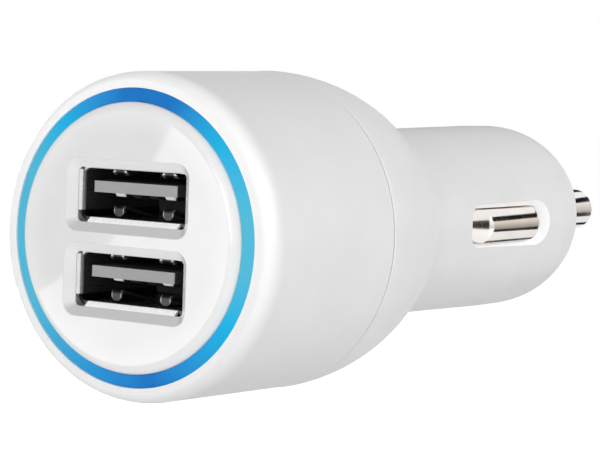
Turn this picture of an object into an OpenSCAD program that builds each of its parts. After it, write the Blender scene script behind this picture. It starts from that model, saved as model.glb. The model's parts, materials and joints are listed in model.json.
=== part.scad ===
// Plug-in car charger with two USB-A ports, a lit ring and a sprung centre contact.
// The axis runs along Y. The origin is on the axis, in the plane of the socket's mouth.
// The ports face -Y, the centre contact points along +Y, and Z is up.

/* [Head] */
// Length from the ring's inner edge back to the plane of the socket's mouth
head_l = 42; // [40:0.5:46]
// Distance from the ring's inner edge to the seam between the two shells
seam_at = 21; // [19:0.5:24]
// Outer radius of the head behind its front shoulder
head_front_r = 15.4; // [15.2:0.1:16.4]
// Growth of the head's radius from the shoulder to the seam
head_flare = 0.5; // [0:0.1:1]
// Width of the rounded front shoulder, measured across the axis
shoulder_w = 0.9; // [0.5:0.1:1.2]
// Length of the rounded front shoulder along the axis
shoulder_l = 2.05; // [1:0.05:3]
// Setback of the front lip behind the ring's inner edge
lip_setback = 0.15; // [0:0.05:0.3]
// Wall of the front shell behind the shoulder
head_wall = 1.2; // [1:0.1:1.6]
// Width of the groove that shows between the two shells
seam_gap = 0.15; // [0.1:0.05:0.4]

/* [Light ring] */
// Width of the light ring on the front
ring_w = 1.2; // [0.8:0.1:1.6]
// Fall of the ring's front from its inner to its outer edge
ring_fall = 0.33; // [0:0.01:0.6]
// Depth of the lip that hooks over the ring's flange
lip_depth = 2.6; // [2.3:0.1:4]
// Thickness of the ring's flange
ring_flange_t = 1.2; // [0.8:0.1:2]
// Width of the ring's flange behind the lip
ring_flange_w = 0.35; // [0.2:0.05:0.6]

/* [Face plate] */
// Height of the flat face above the ring's inner edge
plate_rise = 0.8; // [0.4:0.1:1.2]
// Width of the rounded rim of the face plate
plate_rim_w = 0.9; // [0.5:0.1:1.5]
// Thickness of the face plate behind the ring's inner edge
plate_t = 2.5; // [2:0.1:4]
// Wall of the sleeve behind the face plate
plate_sleeve_t = 1.2; // [0.8:0.1:1.4]
// Flare of each port window, from the port to the face
window_flare = 0.88; // [0.5:0.02:1]

/* [Ports] */
// Width of a port's opening
port_w = 12.5; // [12.4:0.05:12.6]
// Height of a port's opening
port_h = 5.12; // [5:0.02:5.3]
// Distance between the middles of the two ports
port_pitch = 7.9; // [7.6:0.1:8.4]
// Height of the middle of both ports above the axis
port_rise = -0.2; // [-0.4:0.1:0.4]
// Inner corner radius of a port's opening
port_corner_r = 0.5; // [0.2:0.1:0.8]
// Length of a port's metal cage
cage_l = 14.5; // [13:0.1:15]
// Sheet thickness of a port's metal cage
cage_t = 0.3; // [0.2:0.05:0.35]
// Depth of a cage's front edge behind the ring's inner edge
cage_inset = 0.15; // [0.1:0.05:0.6]
// Depth of the flared lips around a cage's mouth
mouth_l = 0.5; // [0.3:0.05:0.8]
// Flare of the lower lip
floor_flare = 0.45; // [0.2:0.05:0.5]
// Flare of the upper lip
roof_flare = 0.1; // [0.05:0.05:0.15]
// Flare of the two side lips
side_flare = 0.2; // [0.05:0.05:0.25]
// Distance that the lips stop short of the lower corners
mouth_notch = 1; // [0.6:0.1:1.4]
// Width of the seam along the middle of the cage's floor
cage_seam = 0.1; // [0.05:0.05:0.2]
// Thickness of a port's moulded tongue
tongue_t = 1.05; // [0.8:0.05:1.3]
// Width of the tongue beside its outer contact strips
tongue_margin = 1.4; // [0.4:0.1:1.6]
// Height of the tongue's underside above the middle of the port
tongue_lift = 0.26; // [0.1:0.02:0.6]
// Depth of the tongue's front edge behind the ring's inner edge
tongue_inset = 0.6; // [0.5:0.05:2]
// Width of one contact strip
pin_w = 1; // [0.8:0.1:1.2]
// Thickness of one contact strip
pin_t = 0.25; // [0.2:0.05:0.3]
// Depth of the contact strips' front ends behind the tongue's front edge
pin_inset = 1.3; // [1:0.1:2]
// Distance of the two inner contact strips from the port's middle
inner_pin_x = 1; // [0.9:0.1:1.2]
// Distance of the two outer contact strips from the port's middle
outer_pin_x = 2.9; // [2.6:0.1:3.5]
// Distance of the cage's spring tabs from the port's middle
tab_x = 2.87; // [2.6:0.01:3.2]
// Depth of the spring tabs' bent ends behind the cage's front edge
tab_inset = 1.75; // [1.4:0.05:2.4]
// Length of the spring tabs
tab_l = 5.6; // [4:0.1:6]
// Width of the spring tabs in the cage's roof
roof_tab_w = 1.65; // [1.2:0.05:2]
// Width of the spring tabs in the cage's floor
floor_tab_w = 1.15; // [0.9:0.05:1.8]
// Height that the roof tabs bend into the port
roof_tab_h = 0.6; // [0.55:0.05:0.7]
// Height that the floor tabs bend into the port
floor_tab_h = 1.15; // [0.6:0.05:1.25]

/* [Barrel] */
// Outer radius at the waist, where the barrel leaves the head
neck_r = 10.05; // [9.8:0.05:10.4]
// Radius of the hollow blend between the head and the barrel
neck_fillet_r = 11.6; // [8:0.1:14]
// Outer radius of the straight guide at the end of the barrel
guide_r = 10.5; // [10.3:0.05:10.6]
// Length of the straight guide
guide_l = 4.6; // [4:0.1:6]
// Length of the barrel from the socket's mouth to the start of the nose
barrel_l = 25.6; // [25:0.1:30]
// Wall of the rear shell
wall = 1.6; // [1.2:0.1:1.8]
// Length that the full curve of the nose would have
nose_curve_l = 12.3; // [11.5:0.1:15]
// Length of the nose that is kept before its flat end
nose_l = 11; // [10:0.1:11.3]

/* [Centre contact] */
// Radius of the centre contact
tip_r = 2.45; // [2:0.05:2.8]
// Reach of the centre contact from the socket's mouth at rest
tip_reach = 50; // [48:0.5:54]
// Radius of the rounded end of the centre contact
tip_edge_r = 0.5; // [0.2:0.1:1]
// Inward travel of the centre contact
tip_travel = 4; // [2:0.5:5]
// Outer radius of the bush in the nose
bush_r = 3.6; // [3.4:0.1:3.9]
// Radius of the bush's collar
bush_collar_r = 4.2; // [4:0.1:4.6]
// Length of the bush's collar
bush_collar_l = 4; // [2:0.1:5]
// Length of the bush inside the nose
bush_seat_l = 5; // [4:0.1:6]
// Radial clearance of the centre contact in its bush
tip_clear = 0.05; // [0.03:0.01:0.1]
// Wire thickness of the spring behind the centre contact
tip_wire_d = 0.5; // [0.3:0.05:0.6]
// Number of turns of that spring
tip_turns = 6; // [4:1:8]

/* [Side contacts] */
// Distance from the socket's mouth to the middle of the side windows
side_at = 13.2; // [13:0.05:13.6]
// Length of a side window at its inner edge
side_window_l = 16; // [14:0.1:16.4]
// Width of a side window at its inner edge
side_window_w = 3.8; // [3.4:0.1:4.4]
// Height of the slanted rim around a side window
side_bevel_h = 1.1; // [0.8:0.05:1.3]
// Outward slant of that rim, as width over height
side_bevel_slope = 0.95; // [0.6:0.05:1.6]
// Gap between a side contact and the sides and front of its window
side_gap = 0.1; // [0.05:0.05:0.3]
// Gap between a side contact and the rear of its window
side_rear_gap = 1.25; // [0.2:0.05:1.6]
// Corner radius at the front of a side contact
side_toe_r = 1.2; // [0.8:0.1:1.5]
// Height of a side contact above the guide
side_rise = 0.7; // [0.4:0.05:1]
// Inward travel of a side contact
side_travel = 1; // [0.6:0.1:1.2]
// Radius across the crown of a side contact
side_crown_r = 2.4; // [2.1:0.1:4]
// Length of the ramp at the front of a side contact
side_ramp_l = 1.85; // [1.5:0.05:3]
// Radius across the ramp at its top
side_ramp_r = 6; // [5:0.5:12]
// Radius of the rounded bend between the ramp and the crown
side_crest_r = 1.2; // [0.6:0.1:2]
// Sheet thickness of a side contact
side_sheet_t = 0.4; // [0.3:0.05:0.5]
// Width of the strip spring behind a side contact
side_spring_w = 6; // [4:0.5:8]

/* [Boards] */
// Thickness of both circuit boards
board_t = 1.2; // [1:0.1:1.6]
// Height of the main board's upper face below the axis
board_drop = 2.9; // [2.9:0.1:3.4]
// Radius of the electrolytic capacitors
can_r = 3.15; // [2.5:0.05:3.2]
// Length of the input capacitor
input_can_l = 10; // [8:0.5:12]
// Height of the output capacitor
output_can_l = 8; // [6:0.5:9]
// Radius of the converter's coil
coil_r = 4.5; // [3.5:0.1:5]
// Height of the converter's coil
coil_h = 6; // [4:0.5:6.5]

/* [Hidden] */

// Smoothness of every round form and number of steps in a drawn curve
$fn = 96;
curve_steps = 24;
// Cut-outs run this far past the faces that they cut
over = 1;
// Fits: pieces pushed together, and pieces that only lie side by side
snug = 0.05;
loose = 0.1;
// Small chamfer along the edges of the seam
seam_chamfer = 0.15;

// The ring's inner edge lies in the plane y = face_y
face_y = -head_l;
lip_r = head_front_r - shoulder_w;
head_back_r = head_front_r + head_flare;
head_bore_r = head_front_r - head_wall;
ring_flange_r = head_bore_r - snug;
ring_r = ring_flange_r - ring_flange_w;
ring_in_r = ring_r - ring_w;
plate_r = ring_in_r - snug;
plate_rim_power = 1.3;

// Blend from the head to the barrel: a wide arc, and a hollow fillet tangent to it
blend_l = head_l - seam_at;
blend_fall = head_back_r - neck_r;
dome_k = neck_fillet_r - blend_fall;
dome_r = (pow(blend_l, 2) + pow(dome_k, 2) - pow(neck_fillet_r, 2)) / (2 * blend_fall);
dome_mid_r = head_back_r - dome_r;
fillet_mid_r = neck_r + neck_fillet_r;
blend_a = asin((fillet_mid_r - dome_mid_r) / (dome_r + neck_fillet_r));

// Hollow of the rear shell
bore_r = min(neck_r, guide_r) - wall;
spigot_r = head_bore_r - loose;
spigot_wall = 1.1;
spigot_in_r = spigot_r - spigot_wall;
dome_in_r = dome_r - wall;
dome_in_a = asin((spigot_in_r - dome_mid_r) / dome_in_r);
nose_end_a = asin(nose_l / nose_curve_l);
snap_h = 0.25;
snap_w = 1;

// Ports and their board
cage_y = face_y + cage_inset;
cage_w = port_w - 2 * side_flare;
cage_h = port_h - floor_flare - roof_flare;
cage_floor_z = floor_flare - port_h / 2;
cage_roof_z = cage_floor_z + cage_h;
port_board_y = cage_y + cage_l;
port_board_back_y = port_board_y + board_t;
port_board_r = head_bore_r - 3 * loose;
port_zs = [port_rise + port_pitch / 2, port_rise - port_pitch / 2];
pin_xs = [-outer_pin_x, -inner_pin_x, inner_pin_x, outer_pin_x];
tongue_y = face_y + tongue_inset;
tongue_w = 2 * (outer_pin_x + pin_w / 2 + tongue_margin);
block_l = 2.5;
pin_y = tongue_y + pin_inset;
pin_bow = 0.5;
pin_bow_l = 6;
pin_skew = 0.4;
pin_tail = 1.3;
cage_leg_x = (cage_w + cage_t) / 2;
cage_leg_w = 1.8;
cage_leg_tail = 1;
tab_t = cage_t - snug;
tab_bend_r = 0.25;
tab_slot = 0.2;

// Ridge that snaps the two shells together, in the middle of the spigot
snap_y = (port_board_back_y + face_y + seam_at - snap_w) / 2;

// LEDs behind the ring
led_w = 1.6;
led_r_w = ring_w - loose;
led_h = 0.8;
led_mid_r = (ring_in_r + ring_r) / 2;
led_angles = [45, 135, 225, 315];
foot_w = 3;

// Main board, held by two lips along each of its edges
board_z = -board_drop;
board_half_w = sqrt(pow(bore_r - loose, 2) - pow(board_drop + board_t, 2));
rail_t = 0.4;
rail_foot_t = 0.8;
rail_grip = 0.6;
rail_l = 5.5;
end_rail_l = 2.2;

// Least gap between the parts on the boards
part_gap = 0.6;

// Header between the boards
header_l = 4.4;
header_w = 10.2;
header_top = port_rise + 0.75;
header_pin = 0.64;
header_pitch = 2.54;
header_pin_z = port_rise;
header_hole_r = 0.5;
header_tail = 0.7;
header_leg_y = port_board_back_y + header_l - 1;
board_start_y = port_board_back_y + pin_tail + part_gap;

// Coil, can and diode details
coil_rim = 0.9;
coil_post_r = coil_r - 2.5;
winding_in = 0.35;
winding_ridge = 0.2;
winding_ridges = 7;
can_edge = 0.3;
can_groove = 0.3;
can_groove_at = 1.2;
can_vent_w = 0.9;
can_vent_h = 0.15;
diode_l = 2.6;
diode_w = 4.6;
diode_h = 2.1;
diode_tab_l = 0.3;
diode_tab_w = 1.4;
diode_tab_t = 0.2;
chip_l = 3.9;
chip_w = 4.9;
chip_h = 1.5;
chip_lift = 0.15;
chip_legs = 3;
chip_leg_w = 0.4;
chip_leg_l = 1;
chip_leg_t = 0.2;
chip_leg_pitch = 1.27;

// Centre contact
nose_end_y = barrel_l + nose_l;
bush_in_y = nose_end_y - bush_seat_l;
tip_flange_l = 1.1;
tip_flange_gap = 0.1;
tip_flange_r = bush_r - 0.3;
tip_flange_y = bush_in_y - tip_flange_gap - tip_flange_l;
tip_spigot_l = 1.6;
guide_tube_wall = 1.35;
guide_tube_spare = 1.4;
guide_tube_r = bush_r + guide_tube_wall;
guide_tube_l = nose_end_y - tip_flange_y + guide_tube_spare;
cup_wall = 0.4;
cup_r = board_drop - loose;
cup_l = 2.2;
cup_foot_w = 2.4;
spring_spare = 0.9;
spring_gap = 0.2;
spring_r = cup_r - cup_wall - spring_gap - tip_wire_d / 2;
tip_spigot_r = spring_r - tip_wire_d / 2 - 3 * loose;
cup_y = tip_flange_y - tip_travel - tip_turns * tip_wire_d - spring_spare - cup_wall;
board_end_y = cup_y + cup_l + 5 * loose;

// Parts on the main board: one row behind the header, the other ahead of the cup
output_can_y = port_board_back_y + header_l + part_gap + can_r;
coil_y = output_can_y + can_r + part_gap + coil_r;
diode_y = coil_y + coil_r + part_gap + diode_l / 2;
converter_chip_y = cup_y - part_gap - chip_w / 2;
input_can_y = converter_chip_y - chip_w / 2 - part_gap - input_can_l;
port_chip_z = port_zs[0] + tongue_lift + pin_t + part_gap + chip_w / 2;

// Side contacts
side_contact_l = side_window_l - side_gap - side_rear_gap;
side_mid_y = side_at + (side_gap - side_rear_gap) / 2;
side_contact_w = side_window_w - 2 * side_gap;
side_crown_x = guide_r + side_rise;
side_axis_x = side_crown_x - side_crown_r;
side_ramp_x = side_crown_x - side_ramp_r;
side_toe_y = side_mid_y - side_contact_l / 2;
side_toe_drop = side_rise + side_bevel_h;
side_ramp_a = atan(side_toe_drop / side_ramp_l);
side_crest_a = 6;
side_heel_over = 0.1;
side_flange = 0.45;
side_flange_w = side_window_w + 2 * side_flange;
side_flange_x = sqrt(pow(bore_r, 2) - pow(side_flange_w / 2, 2)) - 1.5 * loose;
side_back_x = side_flange_x - side_sheet_t;
side_spring_t = 0.2;
side_nose_r = 1.1;
side_spring_x = side_back_x - side_travel - 3 * loose;
side_foot_l = 1.8;
bend_steps = 8;

// Points of an arc in the plane of radius and length, about [r0, y0]
function arc(r0, y0, r, a0, a1) = [for (i = [0:curve_steps])
    let (a = a0 + (a1 - a0) * i / curve_steps) [r0 + r * sin(a), y0 + r * cos(a)]];

// Quarter of an ellipse that leaves the axis direction at a0 and closes towards a1
function ellipse_arc(y0, r, l, a0, a1) = [for (i = [0:curve_steps])
    let (a = a0 + (a1 - a0) * i / curve_steps) [r * cos(a), y0 + l * sin(a)]];

// Bow of a strip: nought at both ends, h in the middle
function bow(t, h) = h * (1 - cos(360 * t)) / 2;

// Side view of a bent strip of thickness t, drawn by a height for each step
function strip(l, t, heights) = concat(
    [for (i = [0:len(heights) - 1]) [l * i / (len(heights) - 1), heights[i]]],
    [for (i = [len(heights) - 1:-1:0]) [l * i / (len(heights) - 1), heights[i] - t]]);

// Turns a [radius, length] outline about the Y axis, with lengths measured along +Y
module turned(points) {
    rotate([-90, 0, 0]) rotate_extrude() polygon(points);
}

// Tube about the Y axis from y0 to y1
module tube(r_out, r_in, y0, y1) {
    turned([[r_in, y0], [r_out, y0], [r_out, y1], [r_in, y1]]);
}

// Disc about the Y axis from y0 to y1
module disc(r, y0, y1) {
    translate([0, y0, 0]) rotate([-90, 0, 0]) cylinder(r = r, h = y1 - y0);
}

// Extrudes a drawing of X and Z along +Y from y0
module along_y(y0, l) {
    translate([0, y0 + l, 0]) rotate([90, 0, 0]) linear_extrude(l) children();
}

// Extrudes a drawing of Y and Z along X, centred
module across_x(w) {
    translate([-w / 2, 0, 0]) rotate([90, 0, 90]) linear_extrude(w) children();
}

// Box that is centred in X and Z and runs along +Y from y0
module bar(w, h, y0, l) {
    translate([-w / 2, y0, -h / 2]) cube([w, l, h]);
}

module rounded_rect(w, h, r) {
    square([w - 2 * r, h], center = true);
    square([w, h - 2 * r], center = true);
    for (x = [-1, 1], y = [-1, 1])
        translate([x * (w / 2 - r), y * (h / 2 - r)]) circle(r);
}

// Hole with rounded corners that widens along +Z by the given slope, past its depth
module flared_hole(w, h, r, slope, depth) {
    high = depth + over / 2;
    flare = slope * high;
    for (x = [-1, 1], y = [-1, 1])
        translate([x * (w / 2 - r), y * (h / 2 - r), 0])
            cylinder(r1 = r, r2 = r + flare, h = high);
    translate([-(w / 2 - r), 0, 0]) rotate([90, 0, 90]) linear_extrude(w - 2 * r)
        polygon([[-h / 2, 0], [h / 2, 0], [h / 2 + flare, high], [-h / 2 - flare, high]]);
    translate([0, h / 2 - r, 0]) rotate([90, 0, 0]) linear_extrude(h - 2 * r)
            polygon([[-w / 2, 0], [w / 2, 0], [w / 2 + flare, high], [-w / 2 - flare, high]]);
}

// Sleeve of the head, from the front lip to the seam
module front_shell() {
    lip_y = face_y + lip_setback;
    end_y = face_y + seam_at - seam_gap;
    shoulder = [for (i = [0:curve_steps]) let (a = 90 * i / curve_steps)
        [lip_r + shoulder_w * sin(a), lip_y + shoulder_l * (1 - cos(a))]];
    color("white") difference() {
        turned(concat(
            [[ring_r + snug, lip_y]],
            shoulder,
            [[head_back_r - seam_chamfer / 2, end_y - seam_chamfer],
             [head_back_r - seam_chamfer, end_y],
             [head_bore_r, end_y],
             [head_bore_r, face_y + lip_depth],
             [ring_r + snug, face_y + lip_depth]]));
        tube(head_bore_r + snap_h + loose, head_bore_r - over,
            snap_y - loose, snap_y + snap_w + loose);
    }
}

// Round face with the two port windows, and the sleeve that stands on the port board
module face_plate() {
    flat_r = plate_r - plate_rim_w;
    rim = [for (i = [curve_steps:-1:0]) let (a = 90 * i / curve_steps)
        [flat_r + plate_rim_w * pow(cos(a), plate_rim_power),
         face_y - plate_rise * pow(sin(a), plate_rim_power)]];
    color("whitesmoke") difference() {
        turned(concat(
            [[0, face_y - plate_rise]],
            rim,
            [[plate_r, port_board_y],
             [plate_r - plate_sleeve_t, port_board_y],
             [plate_r - plate_sleeve_t, face_y + plate_t],
             [0, face_y + plate_t]]));
        for (z = port_zs) translate([0, 0, z]) {
            translate([0, face_y, 0]) rotate([90, 0, 0])
                flared_hole(port_w, port_h, port_corner_r, window_flare / plate_rise, plate_rise);
            along_y(face_y - over / 4, cage_inset + over)
                rounded_rect(port_w, port_h, port_corner_r);
            along_y(cage_y - snug, plate_t + over)
                rounded_rect(port_w + 2 * (cage_t + snug), port_h + 2 * (cage_t + snug),
                    port_corner_r + cage_t);
        }
    }
}

// Light guide: sloped front, flange under the lip, skirt and feet down to the port board
module light_ring() {
    flange_y = face_y + lip_depth;
    skirt_end = port_board_y - led_h - loose;
    color("deepskyblue") {
        turned([[ring_in_r, face_y],
            [ring_r, face_y + ring_fall],
            [ring_r, flange_y],
            [ring_flange_r, flange_y],
            [ring_flange_r, flange_y + ring_flange_t],
            [ring_r, flange_y + ring_flange_t],
            [ring_r, skirt_end],
            [ring_in_r, skirt_end]]);
        intersection() {
            tube(ring_r, ring_in_r, skirt_end - over, port_board_y);
            for (a = [0, 90]) rotate([0, a, 0])
                bar(2 * (ring_r + over), foot_w, skirt_end - over, led_h + over + loose);
        }
    }
}

// Outer skin of the rear shell behind the seam, as [radius, length] points
function rear_skin() = concat(
    [[head_back_r - seam_chamfer, face_y + seam_at]],
    [[head_back_r - seam_chamfer / 3, face_y + seam_at + seam_chamfer]],
    [for (p = arc(dome_mid_r, face_y + seam_at, dome_r, 90, blend_a))
        if (p[1] > face_y + seam_at + 2 * seam_chamfer) p],
    [for (i = [1:curve_steps]) let (a = blend_a + (90 - blend_a) * i / curve_steps)
        [fillet_mid_r - neck_fillet_r * sin(a), -neck_fillet_r * cos(a)]],
    [[guide_r, barrel_l - guide_l]],
    ellipse_arc(barrel_l, guide_r, nose_curve_l, 0, nose_end_a));

// Inner skin of the rear shell, from the nose forward to the spigot's front edge
function rear_hollow() = let (
    fillet_in_r = neck_fillet_r + wall,
    nose_in_l = nose_curve_l - wall,
    tube_a = acos(guide_tube_r / bore_r),
    nose_skin = ellipse_arc(barrel_l, bore_r, nose_in_l, tube_a, 0),
    tube_y = nose_end_y - guide_tube_l)
    concat(
    [[bush_r, nose_end_y], [bush_r, tube_y], [guide_tube_r, tube_y]],
    nose_skin,
    [for (i = [curve_steps:-1:0]) let (a = blend_a + (90 - blend_a) * i / curve_steps)
        [fillet_mid_r - fillet_in_r * sin(a), -fillet_in_r * cos(a)]],
    [for (i = [curve_steps - 1:-1:0])
        let (a = dome_in_a + (blend_a - dome_in_a) * i / curve_steps)
        [dome_mid_r + dome_in_r * sin(a), face_y + seam_at + dome_in_r * cos(a)]],
    [[spigot_in_r, port_board_back_y],
     [spigot_r, port_board_back_y],
     [spigot_r, snap_y],
     [spigot_r + snap_h, snap_y + snap_w / 2],
     [spigot_r, snap_y + snap_w],
     [spigot_r, face_y + seam_at]]);

// Lips inside the shell, above and below each long edge of the main board
module board_rails(y0, l) {
    for (x = [-1, 1]) translate([x * (board_half_w - rail_grip + wall), y0 + l / 2, 0]) {
        translate([0, 0, board_z + snug + rail_t / 2])
            cube([2 * wall, l, rail_t], center = true);
        translate([0, 0, board_z - board_t - loose - rail_foot_t / 2])
            cube([2 * wall, l, rail_foot_t], center = true);
    }
}

// Window for a side contact, on the +X side: rounded corners in front, a round end behind,
// and a slanted rim all round
module side_window() {
    front_r = side_toe_r + side_gap;
    rear_r = side_window_w / 2;
    front = front_r - side_window_l / 2;
    rear = side_window_l / 2 - rear_r;
    high = side_bevel_h + over / 2;
    flare = side_bevel_slope * high;
    deep = 2 * wall;
    half_z = rear_r - front_r;
    translate([guide_r - side_bevel_h, side_at, 0]) rotate([90, 0, 90]) {
        for (c = [[front, half_z, front_r], [front, -half_z, front_r], [rear, 0, rear_r]])
            translate([c[0], c[1], 0]) {
                cylinder(r1 = c[2], r2 = c[2] + flare, h = high);
                translate([0, 0, -deep]) cylinder(r = c[2], h = deep);
            }
        translate([front, 0, 0]) rotate([90, 0, 90]) linear_extrude(rear - front)
            polygon([[-rear_r, -deep], [rear_r, -deep], [rear_r, 0], [rear_r + flare, high],
                [-rear_r - flare, high], [-rear_r, 0]]);
        translate([0, half_z, 0]) rotate([90, 0, 0]) linear_extrude(2 * half_z)
            polygon([[front - front_r, -deep], [0, -deep], [0, high],
                [front - front_r - flare, high], [front - front_r, 0]]);
    }
}

// Rear half of the head, barrel and nose in one moulding
module rear_shell() {
    color("white") difference() {
        union() {
            turned(concat(rear_skin(), rear_hollow()));
            intersection() {
                union() {
                    board_rails(-rail_l / 2, rail_l);
                    board_rails(board_end_y - end_rail_l, end_rail_l + 2 * loose);
                }
                disc(bore_r + wall / 2, -rail_l, barrel_l);
            }
        }
        side_window();
        mirror([1, 0, 0]) side_window();
    }
}

// Folded sheet cage of one port: flared lips round its mouth, a seam along its floor, four
// spring tabs and two board legs
module port_cage(z) {
    back_l = cage_l - mouth_l;
    tab_y = tab_inset - tab_slot;
    color("silver") translate([0, cage_y, z]) difference() {
        union() {
            difference() {
                translate([0, 0, (cage_floor_z + cage_roof_z) / 2]) along_y(mouth_l, back_l) difference() {
                    rounded_rect(cage_w + 2 * cage_t, cage_h + 2 * cage_t, port_corner_r + cage_t);
                    rounded_rect(cage_w, cage_h, port_corner_r);
                }
                for (x = [-tab_x, tab_x]) {
                    translate([x, 0, cage_roof_z])
                        bar(roof_tab_w + 2 * tab_slot, 4 * cage_t, tab_y, tab_l + tab_slot);
                    translate([x, 0, cage_floor_z])
                        bar(floor_tab_w + 2 * tab_slot, 4 * cage_t, tab_y, tab_l + tab_slot);
                }
            }
            mouth_lips();
            for (x = [-tab_x, tab_x]) {
                translate([x, 0, cage_floor_z]) port_tab(floor_tab_w, floor_tab_h, floor_tab_w / 2 - snug);
                translate([x, 0, cage_roof_z]) mirror([0, 0, 1])
                    port_tab(roof_tab_w, roof_tab_h, tab_bend_r);
            }
            for (x = [-cage_leg_x, cage_leg_x]) translate([x, 0, 0])
                bar(cage_t, cage_leg_w, cage_l - over, over + board_t + cage_leg_tail);
        }
        translate([0, 0, cage_floor_z])
            bar(cage_seam, 2 * (floor_flare + cage_t + snug), -over, cage_l + 2 * over);
    }
}

// Lips that flare from the cage's walls out to the edges of the opening
module mouth_lips() {
    lip_w = port_w - 2 * mouth_notch;
    side_low = mouth_notch - port_h / 2;
    side_high = port_h / 2 - port_corner_r / 2;
    across_x(lip_w) lip_outline(-port_h / 2, cage_floor_z, -cage_t);
    across_x(lip_w) lip_outline(port_h / 2, cage_roof_z, cage_t);
    for (x = [-1, 1]) translate([0, 0, side_low]) linear_extrude(side_high - side_low)
        rotate([0, 0, 90]) lip_outline(x * port_w / 2, x * cage_w / 2, x * cage_t);
}

// Section of a lip of thickness t, from its edge in front to the wall behind
module lip_outline(edge, wall_at, t) {
    polygon([[0, edge], [mouth_l, wall_at], [mouth_l + cage_t, wall_at],
        [mouth_l + cage_t, wall_at + t], [mouth_l, wall_at + t], [0, edge + t]]);
}

// One spring tab: it rises from its root behind, and its free end in front is bent back down
module port_tab(w, h, corner_r) {
    t = tab_t;
    root_y = tab_inset + tab_l;
    rise = t / 2 + tab_bend_r;
    path = concat(
        [[root_y + cage_t, -cage_t / 2], [root_y, -cage_t / 2], [root_y - cage_t, -cage_t / 2]],
        bend(tab_inset + rise, h - rise, tab_bend_r, 90, 180),
        [[tab_inset + t / 2, t / 2]]);
    end_z = t / 2;
    intersection() {
        across_x(w) polygon(ribbon(path, t));
        union() {
            bar(w + over, 4 * (h + cage_t), tab_inset + t + snug, tab_l + over);
            along_y(tab_inset - over, t + snug + over + snug) {
                for (x = [-1, 1]) translate([x * (w / 2 - corner_r), end_z + corner_r]) circle(corner_r);
                translate([corner_r - w / 2, end_z - over / 4]) square([w - 2 * corner_r + snug / 10, over]);
                translate([-w / 2 - over, end_z + corner_r]) square([w + 2 * over, h + over]);
            }
        }
    }
}

// Moulded tongue of one port, with the block that closes the cage's back
module port_tongue(z) {
    block_y = port_board_y - block_l;
    color("gainsboro") translate([0, 0, z]) difference() {
        union() {
            translate([0, 0, (cage_floor_z + cage_roof_z) / 2]) along_y(block_y, block_l)
                rounded_rect(cage_w - 2 * snug, cage_h - 2 * snug, port_corner_r - snug);
            translate([0, 0, tongue_lift + tongue_t / 2])
                bar(tongue_w, tongue_t, tongue_y, block_y - tongue_y + over);
        }
        for (x = pin_xs) translate([x, 0, tongue_lift + pin_t / 2])
            bar(pin_w + 2 * snug, pin_t + 2 * snug, pin_y - snug, cage_l);
    }
}

// One contact strip: it leaves its groove under the tongue steeply, runs back into it, and
// comes out behind
module port_pin(z, x) {
    end_y = port_board_back_y + pin_tail;
    heights = [for (i = [0:curve_steps]) -bow(pow(i / curve_steps, pin_skew), pin_bow)];
    color("gold") translate([x, 0, z + tongue_lift + pin_t]) {
        translate([0, pin_y, 0]) across_x(pin_w) polygon(strip(pin_bow_l, pin_t, heights));
        translate([0, 0, -pin_t / 2])
            bar(pin_w, pin_t, pin_y + pin_bow_l, end_y - pin_y - pin_bow_l);
    }
}

// Round board that carries the ports and the ring's LEDs
module port_board() {
    color("darkgreen") difference() {
        disc(port_board_r, port_board_y, port_board_back_y);
        for (z = port_zs) translate([0, port_board_y - over, z]) {
            for (x = pin_xs) translate([x, 0, tongue_lift + pin_t / 2])
                bar(pin_w + 2 * loose, pin_t + 2 * loose, 0, board_t + 2 * over);
            for (x = [-cage_leg_x, cage_leg_x]) translate([x, 0, 0])
                bar(cage_t + 2 * loose, cage_leg_w + 2 * loose, 0, board_t + 2 * over);
        }
        for (i = [-1.5:1.5]) translate([i * header_pitch, 0, header_pin_z])
            disc(header_hole_r, port_board_y - over, port_board_back_y + over);
    }
}

// Small LED on the port board, behind the ring
module ring_led(a) {
    color("lightyellow") rotate([0, -a, 0])
        translate([led_mid_r - led_r_w / 2, port_board_y - led_h, -led_w / 2])
            cube([led_r_w, led_h, led_w]);
}

// Long board in the barrel
module main_board() {
    color("darkgreen") difference() {
        translate([0, 0, board_z - board_t / 2])
            bar(2 * board_half_w, board_t, board_start_y, board_end_y - board_start_y);
        for (i = [-1.5:1.5])
            translate([i * header_pitch, header_leg_y, board_z - board_t - over])
                cylinder(r = header_hole_r, h = board_t + 2 * over);
    }
}

// Angled pin header that joins the two boards
module board_header() {
    leg_h = board_t + header_tail + over;
    color("dimgray") {
        translate([0, 0, (header_top + board_z) / 2])
            bar(header_w, header_top - board_z, port_board_back_y, header_l);
        for (i = [-1.5:1.5]) translate([i * header_pitch, 0, 0]) {
            translate([0, 0, header_pin_z])
                bar(header_pin, header_pin, port_board_y - header_tail,
                    header_tail + board_t + over);
            translate([0, 0, board_z + over - leg_h / 2])
                bar(header_pin, leg_h, header_leg_y - header_pin / 2, header_pin);
        }
    }
}

// Ferrite drum of the converter's coil
module coil_core() {
    color("dimgray") translate([0, coil_y, board_z]) {
        cylinder(r = coil_r, h = coil_rim);
        cylinder(r = coil_post_r, h = coil_h);
        translate([0, 0, coil_h - coil_rim]) cylinder(r = coil_r, h = coil_rim);
    }
}

// Copper winding on the drum, with a ridge for each turn of wire
module coil_winding() {
    inner_h = coil_h - 2 * coil_rim - 2 * snug;
    pitch = inner_h / winding_ridges;
    color("peru") translate([0, coil_y, board_z + coil_rim + snug]) rotate_extrude()
        polygon(concat([[coil_post_r + snug, 0]],
            [for (i = [0:2 * winding_ridges])
                [coil_r - winding_in + (i % 2) * winding_ridge, i * pitch / 2]],
            [[coil_post_r + snug, inner_h]]));
}

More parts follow.
